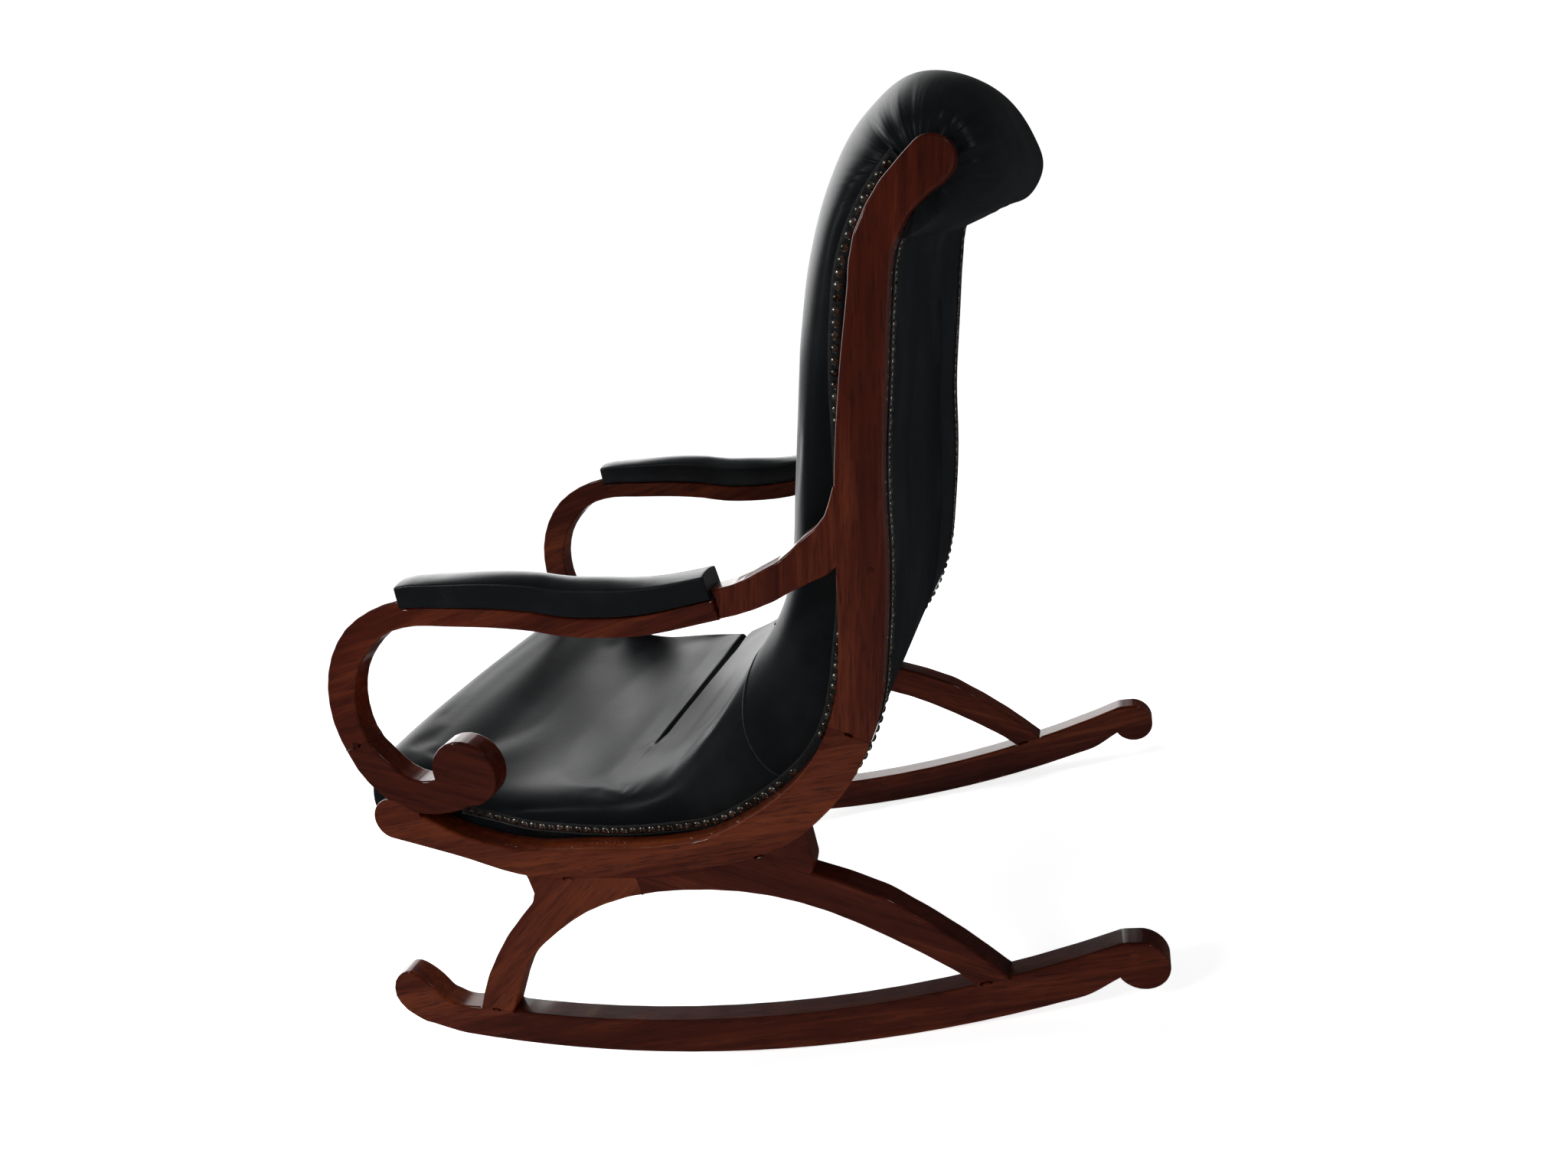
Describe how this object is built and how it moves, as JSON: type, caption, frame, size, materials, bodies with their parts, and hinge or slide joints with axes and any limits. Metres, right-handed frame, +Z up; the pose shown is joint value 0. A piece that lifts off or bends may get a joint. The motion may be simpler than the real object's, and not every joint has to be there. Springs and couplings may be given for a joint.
{
  "type": "scroll-back rocking chair",
  "caption": "Upholstered scroll-back rocking chair with sawn wooden side frames, bowed runners, scrolled open arms with pads, and a padded seat and back.",
  "frame": {"origin": "on the floor, at the centre of the chair's box seen from above, as it stands at rest", "axes": "+Z up, -Y the way the sitter faces, +X the sitter's left"},
  "size_m": [0.575, 0.9756, 0.8672],
  "materials": {
    "mahogany": "glossy",
    "beech": "matte",
    "padded_leather": "satin",
    "leather": "satin",
    "webbing": "matte",
    "dust_cloth": "matte",
    "steel": "satin",
    "nail_brass": "satin"
  },
  "bodies": {
    "root": {"back_post_left": "mahogany", "seat_rail_left": "mahogany", "arm_rail_left": "mahogany", "arm_scroll_left": "mahogany", "front_leg_left": "mahogany", "rear_leg_left": "mahogany", "rocker_left": "mahogany", "arm_pad_left": "padded_leather", "post_rail_dowel_left": "beech", "arm_post_dowel_left": "beech", "arm_scroll_dowel_left": "beech", "front_leg_rail_dowel_left": "beech", "rear_leg_rail_dowel_left": "beech", "front_leg_rocker_dowel_left": "beech", "rear_leg_rocker_dowel_left": "beech", "post_screw_left": "steel", "rail_screw_left": "steel", "post_plug_left": "mahogany", "rail_plug_left": "mahogany", "upholstery_side_left": "beech", "back_post_right": "mahogany", "seat_rail_right": "mahogany", "arm_rail_right": "mahogany", "arm_scroll_right": "mahogany", "front_leg_right": "mahogany", "rear_leg_right": "mahogany", "rocker_right": "mahogany", "arm_pad_right": "padded_leather", "post_rail_dowel_right": "beech", "arm_post_dowel_right": "beech", "arm_scroll_dowel_right": "beech", "front_leg_rail_dowel_right": "beech", "rear_leg_rail_dowel_right": "beech", "front_leg_rocker_dowel_right": "beech", "rear_leg_rocker_dowel_right": "beech", "post_screw_right": "steel", "rail_screw_right": "steel", "post_plug_right": "mahogany", "rail_plug_right": "mahogany", "upholstery_side_right": "beech", "crest_rail": "beech", "lower_back_rail": "beech", "rear_seat_rail": "beech", "front_seat_rail": "beech", "seat_strap_1": "webbing", "seat_strap_2": "webbing", "seat_strap_3": "webbing", "seat_strap_4": "webbing", "seat_strap_5": "webbing", "back_strap_1": "webbing", "back_strap_2": "webbing", "back_strap_3": "webbing", "back_strap_4": "webbing", "back_strap_5": "webbing", "seat_cushion": "padded_leather", "back_cushion": "padded_leather", "head_roll": "padded_leather", "outside_back": "leather", "dust_cover": "dust_cloth"}
  },
  "joints": []
}
